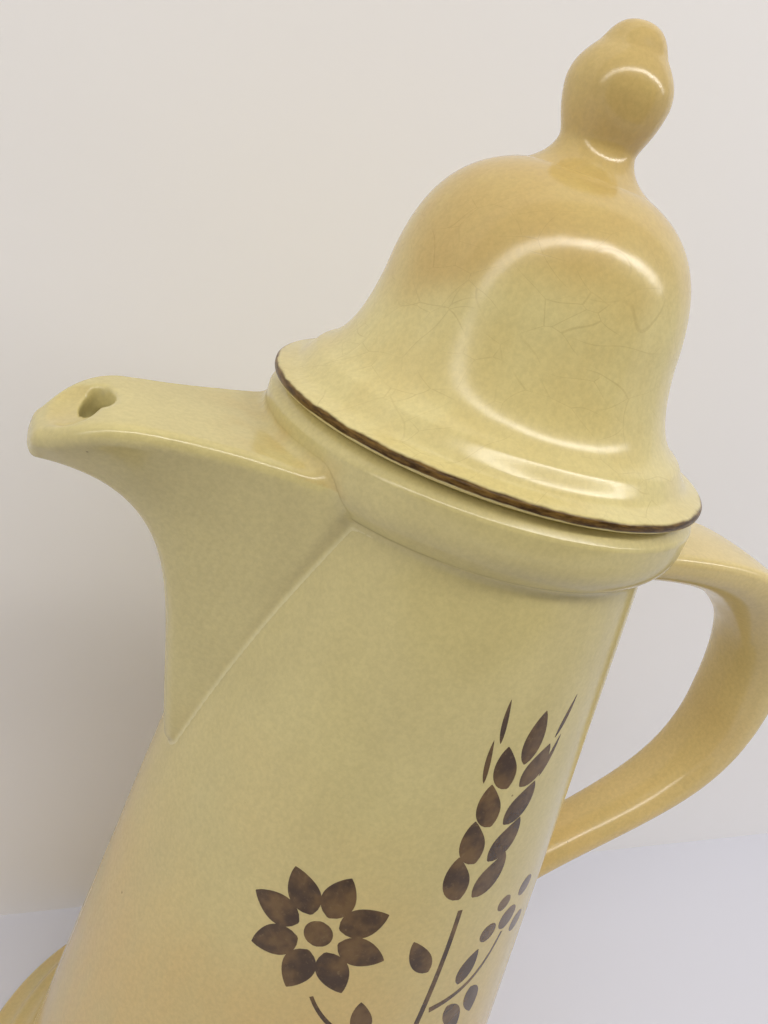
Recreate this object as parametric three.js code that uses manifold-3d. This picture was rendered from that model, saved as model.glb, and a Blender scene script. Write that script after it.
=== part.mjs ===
// A stoneware coffee pot with a lift-off bell lid, slip-cast in pieces and joined with slip.
// Millimetres, +Z up. The spout points along -X and the handle along +X.
// The origin is on the table, under the middle of the space that the pot fills.
import * as THREE from 'three';
import { mergeVertices } from 'three/addons/utils/BufferGeometryUtils.js';
import Module from 'manifold-3d';

const wasm = await Module();
wasm.setup();

// Clearances
const jointGap = 0.3;            // between two pieces that are joined with slip
const seatGap = 0.3;             // between the lid's brim and the collar
const flangeClearance = 0.9;     // between the lid's flange and the mouth, all round

// Body: a hollow cone with a flared foot below and a collar above
const potHeight = 197.1;         // table to the top of the collar
const collarHeight = 11.7;       // lower edge of the collar to its top
const collarRadius = 38.4;       // widest ring of the collar
const collarEdgeRadius = 35.9;   // lower edge of the collar, proud of the cone
const collarSide = 3.0;          // straight side of the collar
const collarChamfer = 2.2;       // slope from the seat to the shoulder
const mouthRadius = 30.4;
const mouthRounding = 0.8;
const coneTopRadius = 34.4;      // outside of the cone, just under the collar
const coneBaseRadius = 52.8;     // outside of the cone, where the foot starts
const wall = 4.5;
const floorThickness = 6;
const footHeight = 19;           // table to the start of the flare
const footRadius = 65;
const footEdge = 5.2;            // height of the foot's outer edge
const footStepRadius = 58.6;     // small step half way down the flare
const footStepHeight = 10.2;
const footRingWidth = 6.5;       // flat ring that the pot stands on
const footRecess = 4;            // hollow under the floor
const footRounding = 1.5;        // foot's side to the flat ring
const footFlange = 1.8;          // foot's outer edge to the start of the flare's hollow curve
const floorCorner = 9;           // rounding between the floor and the cone, inside
const throatRise = 2;            // collar's lower edge to the lower end of the straight mouth
const throatTaper = 8;           // lower end of the straight mouth to the cone's own wall

// Spout: a keel-shaped beak with a level top
const spoutReach = 73.2;         // pot's axis to the lip
const spoutTopDrop = 6.3;        // collar's top to the spout's top face
const spoutDepth = 63.4;         // spout's top face to the lowest point of the keel
const spoutRootWidth = 42;       // width where it meets the cone, at the top
const spoutNeckWidth = 24;       // width half way out
const lipLength = 13.5;          // the part that narrows to the lip
const lipDrop = 5.4;             // how far the top face falls over the lip
const lipThickness = 6;
const spoutWall = 3.6;
const spoutEdgeRadius = 1.8;     // rounding along the two edges of the top face
const keelRadius = 3.6;          // rounding of the keel, near the cone
const bellyRadius = 5.3;         // rounding of the underside, near the lip
const pourHoleWidth = 10.8;
const pourHoleLength = 4.8;
const pourHoleReach = 64.6;      // pot's axis to the middle of the pour hole
const troughReach = 68.4;        // pot's axis to the middle of the trough
const troughLength = 8.4;
const troughWidth = 14.4;
const troughDepth = 1.5;
const troughLift = 0.8;          // middle of the trough above the line between its two ends
const spoutRootReach = 30;       // pot's axis to the first section of the spout
const keelProud = 1;             // how far the keel stands out from the cone at its blunt foot
const keelRise = 24.9;           // how far the keel climbs the cone before it swings out
const keelSwing = 6.9;           // how far the keel is out from the cone where it has climbed that far
const keelRun = 25.3;            // how far the lip's underside runs nearly level
const spoutFlare = 2.2;          // power of the widening towards the cone; higher keeps it slim for longer
const lipFall = 2.4;             // power of the fall over the lip; higher keeps it level for longer
const undersideSag = 1.2;        // how far the lip's underside sags behind the lip
const noseLength = 1.5;          // rounded end of the lip
const openingWidth = 22;         // opening in the body's wall behind the spout
const openingDrop = 3;           // collar's lower edge to the top of that opening

// Handle: one loop of flattened section
const handleReach = 96.7;        // pot's axis to the handle's outer face
const handleTopDrop = 2.3;       // collar's lower edge to the handle's upper face
const handleLowerDrop = 95.9;    // upper to lower joint, along the middle of the section
const handleBulgeDrop = 39;      // upper joint to the widest point of the loop
const handleRootWidth = 23.6;
const handleTailWidth = 14;
const handleThickness = 8.4;
const handleRootDepth = 3.6;     // how far the ends of the loop reach into the cone's wall, before they are cut
const handleEdgeRadius = 2;      // rounding of the two edges of the outer face
const handleFullness = 0.65;     // 1 makes the inside a true half oval, less makes it fuller
const handleBendSwell = 4.5;     // extra thickness inside the upper bend of the loop ...
const handleBendShare = 0.3;     // ... most at this share of the loop's length
const handleBendSpread = 0.25;   // ... and fading out over this share of it
const handleCrown = 0.5;         // swell of the outer face
const handleUpperRun = 68.5;     // how far the upper arm runs nearly level
const handleBack = 28.6;         // how far the back of the loop runs nearly upright
const handleLowerRun = 23.1;     // how steeply the lower arm comes in: out from the cone ...
const handleLowerRise = 24;      // ... and up from the lower joint

// Lid: a bell with a brim, and a flange that goes down into the mouth
const lidRadius = 38.4;
const lidWall = 4;
const brimHeight = 6.1;          // brim's underside to the shoulder of the step
const brimStepRadius = 32.3;
const brimEdge = 1.7;            // height of the brim's outer edge
const waistRadius = 25.2;        // bell, half way up
const waistHeight = 20.7;
const crownRadius = 10.8;        // bell, where it meets the ring under the knob
const crownHeight = 43;
const flangeDepth = 12;
const flangeThickness = 3.6;

// Knob: a ball on a short neck, with a blunt cone on top; heights count from its foot
const knobFootRadius = 9.7;
const knobNeckRadius = 6.2;
const knobNeckHeight = 3.7;
const knobBallRadius = 8.2;
const knobBallHeight = 11.4;
const knobShoulderRadius = 5.6;
const knobShoulderHeight = 17.2;
const knobHeight = 21.6;
const knobRingRise = 0.9;        // flat on the lid's crown, which the knob stands on

// How finely the round shapes are divided
const turns = 48;
const knobTurns = 32;
const curveSteps = 6;
const spoutSteps = 12;
const handleSteps = 12;
const handleOvalSteps = 10;

const collarFoot = potHeight - collarHeight;
const lidBase = potHeight + seatGap;
const spoutTop = potHeight - spoutTopDrop;
const potAxis = (spoutReach - handleReach) / 2;
const point = (x, y) => new THREE.Vector2(x, y);

// Outside radius of the cone at a height
function coneRadius(height) {
  const share = (height - footHeight) / (collarFoot - footHeight);
  return THREE.MathUtils.lerp(coneBaseRadius, coneTopRadius, share);
}

// A closed mesh with shared corners and no collapsed faces, as a solid
function toSolid(geometry) {
  const bare = geometry.clone();
  bare.deleteAttribute('normal');
  bare.deleteAttribute('uv');
  const merged = mergeVertices(bare, 1e-4);
  const corners = merged.index.array;
  const kept = [];
  for (let i = 0; i < corners.length; i += 3) {
    const [a, b, c] = [corners[i], corners[i + 1], corners[i + 2]];
    if (a !== b && b !== c && c !== a) kept.push(a, b, c);
  }
  return new wasm.Manifold(new wasm.Mesh({
    numProp: 3,
    vertProperties: merged.attributes.position.array,
    triVerts: new Uint32Array(kept),
  }));
}

function toGeometry(solid) {
  const mesh = solid.getMesh();
  const geometry = new THREE.BufferGeometry();
  geometry.setAttribute('position', new THREE.BufferAttribute(mesh.vertProperties, 3));
  geometry.setIndex(new THREE.BufferAttribute(mesh.triVerts, 1));
  geometry.computeVertexNormals();
  return geometry;
}

// A profile of (radius, height) points, turned about the Z axis
function turned(profile, around = turns) {
  return new THREE.LatheGeometry(profile, around).rotateX(Math.PI / 2);
}

// A closed skin through rings of equal length, with a flat fan over each end
function loft(rings) {
  const sides = rings[0].length;
  const places = [];
  const faces = [];
  rings.forEach((ring) => ring.forEach((p) => places.push(p.x, p.y, p.z)));
  for (let r = 0; r < rings.length - 1; r += 1) {
    for (let s = 0; s < sides; s += 1) {
      const a = r * sides + s;
      const b = r * sides + ((s + 1) % sides);
      faces.push(a, b, a + sides, b, b + sides, a + sides);
    }
  }
  const closeEnd = (ring, start, facesBack) => {
    const middle = new THREE.Vector3();
    ring.forEach((p) => middle.addScaledVector(p, 1 / sides));
    const centre = places.length / 3;
    places.push(middle.x, middle.y, middle.z);
    for (let s = 0; s < sides; s += 1) {
      const a = start + s;
      const b = start + ((s + 1) % sides);
      if (facesBack) faces.push(centre, b, a);
      else faces.push(centre, a, b);
    }
  };
  closeEnd(rings[0], 0, true);
  closeEnd(rings[rings.length - 1], (rings.length - 1) * sides, false);
  const geometry = new THREE.BufferGeometry();
  geometry.setAttribute('position', new THREE.Float32BufferAttribute(places, 3));
  geometry.setIndex(faces);
  return geometry;
}

// Points of a cubic curve, without its first one when it follows another curve
function bend(start, leave, arrive, end, steps = curveSteps) {
  const curve = new THREE.CubicBezierCurve(start, leave, arrive, end);
  return curve.getPoints(steps).slice(1);
}

// Round corner between two straight lines, as a few points of a circle
function rounded(corner, before, after, radius, steps = 3) {
  const into = before.clone().sub(corner).setLength(radius).add(corner);
  const out = after.clone().sub(corner).setLength(radius).add(corner);
  return new THREE.QuadraticBezierCurve(into, corner, out).getPoints(steps);
}

// Outline of the body's outside, from the table up to the seat of the lid
function bodyOutside() {
  const footInner = footRadius - footRounding - footRingWidth;
  const flange = footEdge + footFlange;
  const shoulder = potHeight - collarChamfer;
  const sideFoot = shoulder - collarSide;
  return [
    point(footInner - 2, footRecess),
    point(footInner, 0),
    point(footRadius - footRounding, 0),
    point(footRadius - 0.4, 0.9),
    point(footRadius, 2.2),
    point(footRadius - 0.3, footEdge - 1.2),
    ...bend(
      point(footRadius - 1.2, footEdge),
      point(footRadius - 2.6, flange - 0.6),
      point(footStepRadius + 2.4, flange),
      point(footStepRadius + 1, footStepHeight - 1.6),
      4,
    ),
    point(footStepRadius + 0.4, footStepHeight - 0.6),
    point(footStepRadius - 0.6, footStepHeight),
    ...bend(
      point(footStepRadius - 0.6, footStepHeight),
      point(footStepRadius - 3.4, footStepHeight + 0.7),
      point(coneRadius(footHeight - 5), footHeight - 4.5),
      point(coneRadius(footHeight), footHeight),
      5,
    ),
    point(coneRadius(collarFoot - 0.6), collarFoot - 0.6),
    point(coneRadius(collarFoot) + 0.4, collarFoot),
    point(collarEdgeRadius, collarFoot + 0.5),
    ...bend(
      point(collarEdgeRadius, collarFoot + 0.5),
      point(collarEdgeRadius + 1, collarFoot + 3.4),
      point(collarRadius, sideFoot - 2.8),
      point(collarRadius, sideFoot),
      4,
    ),
    ...rounded(
      point(collarRadius, shoulder),
      point(collarRadius, sideFoot),
      point(collarRadius - collarChamfer, potHeight),
      0.9,
    ),
    point(collarRadius - collarChamfer, potHeight),
  ];
}

// Outline of the body's inside, from the mouth down to the middle of the floor
function bodyInside() {
  const floorTop = footRecess + floorThickness;
  const cornerRadius = coneRadius(floorTop) - wall;
  const throatFoot = collarFoot + throatRise;
  const coneTop = throatFoot - throatTaper;
  return [
    point(mouthRadius + mouthRounding, potHeight),
    point(mouthRadius + mouthRounding * 0.25, potHeight - mouthRounding * 0.25),
    point(mouthRadius, potHeight - mouthRounding),
    point(mouthRadius, throatFoot),
    point(coneRadius(coneTop) - wall, coneTop),
    ...rounded(
      point(cornerRadius, floorTop),
      point(coneRadius(footHeight + 10) - wall, footHeight + 10),
      point(0, floorTop),
      floorCorner,
      4,
    ),
    point(0, floorTop),
  ];
}

// The three round corners of a spout section: two along the top face, one along the keel
function spoutSection(top, keel, halfWidth, edgeRadius, underRadius) {
  const down = new THREE.Vector2(keel.x - top.x, keel.y - top.y);
  const depth = down.length();
  down.divideScalar(depth);
  const under = Math.min(underRadius, depth / 2.05, halfWidth);
  const edge = Math.min(edgeRadius, depth / 4.2, halfWidth / 2);
  const corners = [
    { across: halfWidth - edge, along: edge, radius: edge },
    { across: 0, along: depth - under, radius: under },
    { across: edge - halfWidth, along: edge, radius: edge },
  ];
  const lean = Math.atan2(corners[1].along - edge, halfWidth - edge);
  const side = Math.acos((under - edge) / Math.hypot(corners[1].along - edge, halfWidth - edge));
  const normal = side - lean;
  const arcs = [[-Math.PI / 2, normal], [normal, Math.PI - normal], [Math.PI - normal, Math.PI * 1.5]];
  const stepsOfArc = [3, 6, 3];
  const ring = [];
  const put = (across, along) => ring.push(new THREE.Vector3(
    top.x + down.x * along,
    -across,
    top.y + down.y * along,
  ));
  corners.forEach((corner, k) => {
    for (let i = 0; i <= stepsOfArc[k]; i += 1) {
      const turn = THREE.MathUtils.lerp(arcs[k][0], arcs[k][1], i / stepsOfArc[k]);
      put(corner.across + corner.radius * Math.cos(turn), corner.along + corner.radius * Math.sin(turn));
    }
  });
  return ring;
}

// An oval ring with as many points as a spout section, so that the two can be joined
function ovalSection(back, front, halfWidth) {
  const count = spoutSection(point(0, 1), point(0, 0), 1, 0.1, 0.1).length;
  const middle = back.clone().add(front).multiplyScalar(0.5);
  const half = front.clone().sub(middle);
  const ring = [];
  for (let i = 0; i < count; i += 1) {
    const turn = ((i + 0.5) / count) * Math.PI * 2 - Math.PI / 2;
    ring.push(new THREE.Vector3(
      middle.x + half.x * Math.sin(turn),
      -halfWidth * Math.cos(turn),
      middle.y + half.y * Math.sin(turn),
    ));
  }
  return ring;
}

// Half of the spout's width, seen from above
function spoutHalfWidth(reach) {
  const lipStart = spoutReach - lipLength;
  if (reach > lipStart) {
    const out = Math.min((reach - lipStart) / lipLength, 1);
    return (spoutNeckWidth / 2) * Math.sqrt(1 - out ** 2);
  }
  const back = (lipStart - reach) / (lipStart - spoutRootReach);
  return spoutNeckWidth / 2 + ((spoutRootWidth - spoutNeckWidth) / 2) * back ** spoutFlare;
}

// Height of the spout's top face, level and then falling over the lip
function spoutTopHeight(reach) {
  const fall = (reach - (spoutReach - lipLength - noseLength)) / lipLength;
  return spoutTop - lipDrop * THREE.MathUtils.clamp(fall, 0, 1) ** lipFall;
}

// Top point, keel point and half width of the spout, from the cone (0) to the lip (1)
function spoutStation(share) {
  const lipReach = spoutReach - noseLength;
  const topReach = THREE.MathUtils.lerp(spoutRootReach, lipReach, share);
  const keelFoot = spoutTop - spoutDepth;
  const lipUnder = spoutTopHeight(lipReach) - lipThickness;
  const keel = new THREE.CubicBezierCurve(
    point(coneRadius(keelFoot) + keelProud, keelFoot),
    point(coneRadius(keelFoot) + keelSwing, keelFoot + keelRise),
    point(lipReach - keelRun, lipUnder - undersideSag),
    point(lipReach, lipUnder),
  );
  return {
    top: point(topReach, spoutTopHeight(topReach)),
    keel: keel.getPoint(share),
    halfWidth: spoutHalfWidth(topReach),
    under: THREE.MathUtils.lerp(keelRadius, bellyRadius, Math.min(share * 1.3, 1)),
  };
}

function ringAt({ top, keel, halfWidth, under }, edge = spoutEdgeRadius) {
  return spoutSection(top, keel, halfWidth, edge, under);
}

// The spout's outer skin, from inside the body's wall to the rounded end of the lip
function spoutSkin() {
  const rings = [];
  const root = spoutStation(0);
  root.top.x -= wall + 1.5;
  root.keel.x -= wall;
  root.keel.y -= 1.5;
  rings.push(ringAt(root));
  for (let i = 0; i <= spoutSteps; i += 1) rings.push(ringAt(spoutStation(i / spoutSteps)));
  const lip = spoutStation(1);
  const middle = lip.top.clone().add(lip.keel).multiplyScalar(0.5);
  [25, 50, 72].forEach((degrees) => {
    const turn = THREE.MathUtils.degToRad(degrees);
    const out = noseLength * Math.sin(turn);
    const shrink = Math.cos(turn);
    const shrunk = (p) => p.clone().sub(middle).multiplyScalar(shrink).add(middle).add(point(out, 0));
    rings.push(ringAt({
      top: shrunk(lip.top),
      keel: shrunk(lip.keel),
      halfWidth: lip.halfWidth * shrink,
      under: lip.under * shrink,
    }));
  });
  return loft(rings);
}

// The way for the coffee: from inside the body, through its wall, and up and out at the pour hole
function spoutChannel() {
  const inset = (share) => {
    const { top, keel, halfWidth, under } = spoutStation(share);
    const down = keel.clone().sub(top).normalize();
    return {
      top: top.addScaledVector(down, spoutWall),
      keel: keel.addScaledVector(down, -spoutWall * 1.15),
      halfWidth: halfWidth - spoutWall * 1.15,
      under: Math.max(under - spoutWall * 0.6, 1.5),
    };
  };
  const atWall = inset(0.04);
  atWall.top.y = Math.min(atWall.top.y, collarFoot - openingDrop);
  atWall.halfWidth = openingWidth / 2;
  const inPot = { ...atWall, top: atWall.top.clone(), keel: atWall.keel.clone() };
  inPot.top.x -= wall + 11;
  inPot.keel.x -= wall + 11;
  const rings = [inPot, atWall, inset(0.22), inset(0.38), inset(0.54), inset(0.68)].map((s) => ringAt(s, 2.2));
  const holeBack = pourHoleReach - pourHoleLength / 2;
  const holeFront = pourHoleReach + pourHoleLength / 2;
  const bendBack = point(holeBack, spoutTop - spoutWall - 0.4);
  const bendFront = point(holeFront, spoutTop - spoutWall - pourHoleLength * 0.7);
  rings.push(ovalSection(bendBack, bendFront, pourHoleWidth / 2));
  rings.push(ovalSection(point(holeBack, spoutTop + 1.5), point(holeFront, spoutTop + 1.5), pourHoleWidth / 2));
  return loft(rings);
}

// Shallow oval trough in the top face, from the pour hole to the lip
function spoutTrough() {
  const start = troughReach - troughLength / 2;
  const end = troughReach + troughLength / 2;
  const high = spoutTopHeight(start);
  const low = spoutTopHeight(end);
  return new THREE.SphereGeometry(1, 32, 16)
    .scale(troughLength / 2, troughWidth / 2, troughDepth)
    .rotateY(Math.atan2(high - low, troughLength))
    .translate(troughReach, 0, (high + low) / 2 + troughLift);
}

// The handle's loop: out from under the collar, round, and back to the cone
function handleSkin() {
  const half = handleThickness / 2;
  const widest = handleReach - half - handleCrown;
  const upper = collarFoot - handleTopDrop - half;
  const lower = upper - handleLowerDrop;
  const middle = upper - handleBulgeDrop;
  const arms = [
    new THREE.CubicBezierCurve(
      point(coneRadius(upper) - handleRootDepth, upper - 0.5),
      point(handleUpperRun, upper + 1),
      point(widest, upper + 3.7),
      point(widest, middle),
    ),
    new THREE.CubicBezierCurve(
      point(widest, middle),
      point(widest, middle - handleBack),
      point(coneRadius(lower) + handleLowerRun, lower + handleLowerRise),
      point(coneRadius(lower) - handleRootDepth, lower - 2),
    ),
  ];
  const stations = [];
  arms.forEach((arm, k) => {
    for (let i = k; i <= handleSteps; i += 1) {
      stations.push({ place: arm.getPoint(i / handleSteps), along: arm.getTangent(i / handleSteps) });
    }
  });
  const rings = stations.map(({ place, along }, i) => {
    const share = i / (stations.length - 1);
    const narrowing = THREE.MathUtils.smoothstep(share, 0.2, 0.95);
    const width = THREE.MathUtils.lerp(handleRootWidth, handleTailWidth, narrowing);
    const outward = point(-along.y, along.x);
    const apart = Math.abs(share - handleBendShare) / handleBendSpread;
    const swell = handleBendSwell * (1 - THREE.MathUtils.smoothstep(apart, 0, 1));
    return handleSection(width, swell).map(({ across, up }) => new THREE.Vector3(
      place.x + outward.x * up,
      across,
      place.y + outward.y * up,
    ));
  });
  return loft(rings);
}

// A flattened section: nearly flat on the outside of the loop, and half an oval on the inside
function handleSection(width, swell) {
  const ring = [];
  const side = handleThickness / 2 - handleEdgeRadius;
  const depth = side + handleThickness / 2 + swell;
  const roundEdge = (across, from) => {
    for (let i = 0; i <= 3; i += 1) {
      const turn = from + (i / 3) * (Math.PI / 2);
      ring.push({
        across: across + handleEdgeRadius * Math.cos(turn),
        up: side + handleEdgeRadius * Math.sin(turn),
      });
    }
  };
  roundEdge(width / 2 - handleEdgeRadius, 0);
  ring.push({ across: 0, up: handleThickness / 2 + handleCrown });
  roundEdge(handleEdgeRadius - width / 2, Math.PI / 2);
  for (let i = 1; i < handleOvalSteps; i += 1) {
    const turn = (i / handleOvalSteps) * Math.PI;
    ring.push({
      across: (-width / 2) * Math.cos(turn),
      up: side - depth * Math.sin(turn) ** handleFullness,
    });
  }
  return ring;
}

// The bell's outside, from the brim's underside to the seat of the knob; heights count from the underside
function lidOutside() {
  const crownRise = crownHeight + knobRingRise;
  return [
    point(lidRadius - 1, 0),
    point(lidRadius, 0.7),
    point(lidRadius - 0.4, brimEdge),
    ...bend(
      point(lidRadius - 0.4, brimEdge),
      point(lidRadius - 2.2, brimEdge + 0.9),
      point(brimStepRadius + 2.6, brimHeight - 3.2),
      point(brimStepRadius + 1.2, brimHeight - 1.9),
      4,
    ),
    point(brimStepRadius + 0.7, brimHeight - 0.8),
    point(brimStepRadius, brimHeight),
    ...bend(
      point(brimStepRadius, brimHeight),
      point(brimStepRadius - 4.3, brimHeight + 2.9),
      point(waistRadius + 1, waistHeight - 6.7),
      point(waistRadius, waistHeight),
    ),
    ...bend(
      point(waistRadius, waistHeight),
      point(waistRadius - 1, waistHeight + 10.8),
      point(crownRadius + 10.2, crownHeight - 3.4),
      point(crownRadius, crownHeight),
      8,
    ),
    point(knobFootRadius + 0.3, crownRise),
    point(0, crownRise),
  ];
}

// The bell's inside, from its top down to the lower edge of the flange, and the flange's outside
function lidInside() {
  const flangeOuter = mouthRadius - flangeClearance;
  const flangeInner = flangeOuter - flangeThickness;
  const top = crownHeight + knobRingRise - lidWall;
  return [
    point(0, top),
    ...bend(
      point(0, top),
      point(crownRadius + 4.2, top - 0.2),
      point(waistRadius - lidWall - 0.8, waistHeight + 9.5),
      point(waistRadius - lidWall, waistHeight),
    ),
    ...bend(
      point(waistRadius - lidWall, waistHeight),
      point(waistRadius - lidWall + 1.2, waistHeight - 5.7),
      point(flangeInner - 1.3, brimHeight + 3.9),
      point(flangeInner, brimHeight),
      5,
    ),
    point(flangeInner, 0.8 - flangeDepth),
    point(flangeInner + 0.8, -flangeDepth),
    point(flangeOuter - 0.8, -flangeDepth),
    point(flangeOuter, 0.8 - flangeDepth),
    point(flangeOuter, 0),
  ];
}

function knobOutline() {
  return [
    point(0, 0),
    point(knobFootRadius, 0),
    ...bend(
      point(knobFootRadius, 0),
      point(knobNeckRadius + 1.6, 0.9),
      point(knobNeckRadius, knobNeckHeight - 1.8),
      point(knobNeckRadius, knobNeckHeight),
      4,
    ),
    ...bend(
      point(knobNeckRadius, knobNeckHeight),
      point(knobNeckRadius, knobNeckHeight + 1.8),
      point(knobBallRadius - 0.6, knobBallHeight - 4.8),
      point(knobBallRadius, knobBallHeight),
      6,
    ),
    ...bend(
      point(knobBallRadius, knobBallHeight),
      point(knobBallRadius, knobBallHeight + 2.8),
      point(knobShoulderRadius + 1.4, knobShoulderHeight - 1.6),
      point(knobShoulderRadius, knobShoulderHeight),
      5,
    ),
    ...bend(
      point(knobShoulderRadius, knobShoulderHeight),
      point(knobShoulderRadius - 1.1, knobShoulderHeight + 1.3),
      point(knobShoulderRadius - 1.6, knobHeight),
      point(0, knobHeight),
      6,
    ),
  ];
}

// The body's outside grown by the joint gap, which the spout and the handle are cut with
function bodyBlank() {
  const outline = bodyOutside().slice(1);
  const grown = outline.map((p, i) => {
    const before = outline[Math.max(i - 1, 0)];
    const after = outline[Math.min(i + 1, outline.length - 1)];
    const along = after.clone().sub(before).normalize();
    return point(p.x + along.y * jointGap, p.y - along.x * jointGap);
  });
  const low = grown[0];
  const high = grown[grown.length - 1];
  return toSolid(turned([point(0, low.y), ...grown, point(0, high.y)]));
}

const clay = (color) => new THREE.MeshStandardMaterial({ color, roughness: 0.18, metalness: 0 });

function piece(name, geometry, color) {
  const mesh = new THREE.Mesh(geometry, clay(color));
  mesh.name = name;
  return mesh;
}

const blank = bodyBlank();
const channel = toSolid(spoutChannel());

const bodyShell = toSolid(turned([point(0, footRecess), ...bodyOutside(), ...bodyInside()]));
const body = piece('body', toGeometry(bodyShell.subtract(channel)), 0xd8c78a);

const spoutShell = toSolid(spoutSkin()).subtract(blank).subtract(channel).subtract(toSolid(spoutTrough()));
const spout = piece('spout', toGeometry(spoutShell), 0xd2c084);

const handleShell = toSolid(handleSkin()).subtract(blank);
const handle = piece('handle', toGeometry(handleShell), 0xd4c080);

const lid = piece('lid', toGeometry(toSolid(turned([...lidInside(), ...lidOutside()]))), 0xd9c583);
lid.position.z = lidBase;

const knob = piece('knob', toGeometry(toSolid(turned(knobOutline(), knobTurns))), 0xcfb877);
knob.position.z = lidBase + crownHeight + knobRingRise + jointGap;

// Everything above is built round the pot's own axis; here the spout side is turned to -X
body.rotation.z = Math.PI;
spout.rotation.z = Math.PI;

const pot = new THREE.Group();
pot.add(body, spout, handle, lid, knob);
pot.position.x = potAxis;

const group = new THREE.Group();
group.add(pot);
group.updateMatrixWorld(true);

export default group;
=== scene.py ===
# %% [markdown]
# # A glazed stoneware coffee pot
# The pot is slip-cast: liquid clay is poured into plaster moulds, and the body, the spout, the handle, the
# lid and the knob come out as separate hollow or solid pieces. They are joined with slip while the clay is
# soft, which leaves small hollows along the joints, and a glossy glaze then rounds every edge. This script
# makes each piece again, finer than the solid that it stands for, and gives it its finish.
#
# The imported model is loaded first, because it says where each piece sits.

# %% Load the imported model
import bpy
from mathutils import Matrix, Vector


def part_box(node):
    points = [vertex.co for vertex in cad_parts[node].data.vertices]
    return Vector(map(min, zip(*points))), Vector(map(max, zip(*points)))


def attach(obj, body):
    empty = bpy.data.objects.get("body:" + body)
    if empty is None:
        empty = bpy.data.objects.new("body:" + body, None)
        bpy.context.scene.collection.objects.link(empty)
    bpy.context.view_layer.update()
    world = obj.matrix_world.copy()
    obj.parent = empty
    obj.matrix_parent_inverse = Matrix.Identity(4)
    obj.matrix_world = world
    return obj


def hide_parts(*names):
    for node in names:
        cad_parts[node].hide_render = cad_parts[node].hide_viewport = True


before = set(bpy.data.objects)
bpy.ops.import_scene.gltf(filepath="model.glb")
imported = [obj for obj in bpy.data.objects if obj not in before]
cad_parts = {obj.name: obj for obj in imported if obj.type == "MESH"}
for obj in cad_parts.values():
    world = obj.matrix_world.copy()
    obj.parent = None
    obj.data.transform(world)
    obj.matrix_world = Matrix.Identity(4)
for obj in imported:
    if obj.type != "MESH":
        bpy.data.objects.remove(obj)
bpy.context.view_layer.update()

import math

import bmesh
import bpy
from mathutils import Euler, Matrix, Vector
from mathutils.bvhtree import BVHTree

MM = 0.001

# %% [markdown]
# ## Where the pot stands
# Body, lid and knob were turned on one upright axis, so three numbers place everything: where that axis is,
# how high the rim of the mouth is, and the height that the lid is measured from, a hair above the rim. The
# first two are read from the model, and all further sizes are millimetres from the axis and from the table.

# %% The pot's axis and its main heights
body_low, body_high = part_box("body")
AXIS_X = (body_low[0] + body_high[0]) / 2 / MM
POT_HEIGHT = body_high[2] / MM
LID_BASE = POT_HEIGHT + 0.3      # the lid's own heights count from here
print("axis at x = %.2f mm, rim at %.1f mm" % (AXIS_X, POT_HEIGHT))

# %% [markdown]
# ## Turned pieces
# A potter's profile turned round an axis is what Blender calls a spin. The profile is drawn as points joined
# by edges, cubic curves give it its soft corners, and bmesh.ops.spin carries it round in small steps. The
# full turn is merged with its own start, and the points on the axis are merged into one, so the shell closes.

# %% Profiles and turning
def curve(start, leave, arrive, end, steps=12):
    """Points of a cubic curve from start to end, without start itself."""
    points = []
    for i in range(1, steps + 1):
        t = i / steps
        weights = ((1 - t) ** 3, 3 * t * (1 - t) ** 2, 3 * t * t * (1 - t), t ** 3)
        points.append(tuple(
            sum(w * p[k] for w, p in zip(weights, (start, leave, arrive, end))) for k in (0, 1)
        ))
    return points


def corner(before, middle, after, reach, steps=6):
    """A rounded corner: it leaves each side at a distance of reach from the corner point."""
    def along(p):
        length = math.hypot(p[0] - middle[0], p[1] - middle[1])
        share = min(reach / length, 0.5)
        return (middle[0] + (p[0] - middle[0]) * share, middle[1] + (p[1] - middle[1]) * share)
    first, last = along(before), along(after)
    pull = 0.56
    leave = tuple(first[k] + (middle[k] - first[k]) * pull for k in (0, 1))
    arrive = tuple(last[k] + (middle[k] - last[k]) * pull for k in (0, 1))
    return [first] + curve(first, leave, arrive, last, steps)


def new_object(name, bm, smooth_below=40):
    """Turns a bmesh into an object at the origin, smooth except where faces meet at a sharp angle."""
    mesh = bpy.data.meshes.new(name)
    bm.to_mesh(mesh)
    bm.free()
    mesh.shade_smooth()
    mesh.set_sharp_from_angle(angle=math.radians(smooth_below))
    made = bpy.data.objects.new(name, mesh)
    bpy.context.scene.collection.objects.link(made)
    return made


def turned(name, profile, steps=192, shift=(0, 0)):
    """A closed solid of revolution round the pot's axis, from (radius, height) points in mm."""
    bm = bmesh.new()
    points = [bm.verts.new((r * MM, 0, z * MM)) for r, z in profile]
    edges = [bm.edges.new(pair) for pair in zip(points, points[1:])]
    if profile[0][0] > 0:
        edges.append(bm.edges.new((points[-1], points[0])))
    bmesh.ops.spin(
        bm, geom=points + edges, cent=(0, 0, 0), axis=(0, 0, 1), dvec=(0, 0, 0),
        angle=math.tau, steps=steps, use_merge=True,
    )
    bmesh.ops.remove_doubles(bm, verts=bm.verts[:], dist=1e-6)
    bmesh.ops.recalc_face_normals(bm, faces=bm.faces[:])
    bmesh.ops.translate(bm, verts=bm.verts[:], vec=((AXIS_X + shift[0]) * MM, shift[1] * MM, 0))
    return new_object(name, bm)

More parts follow.
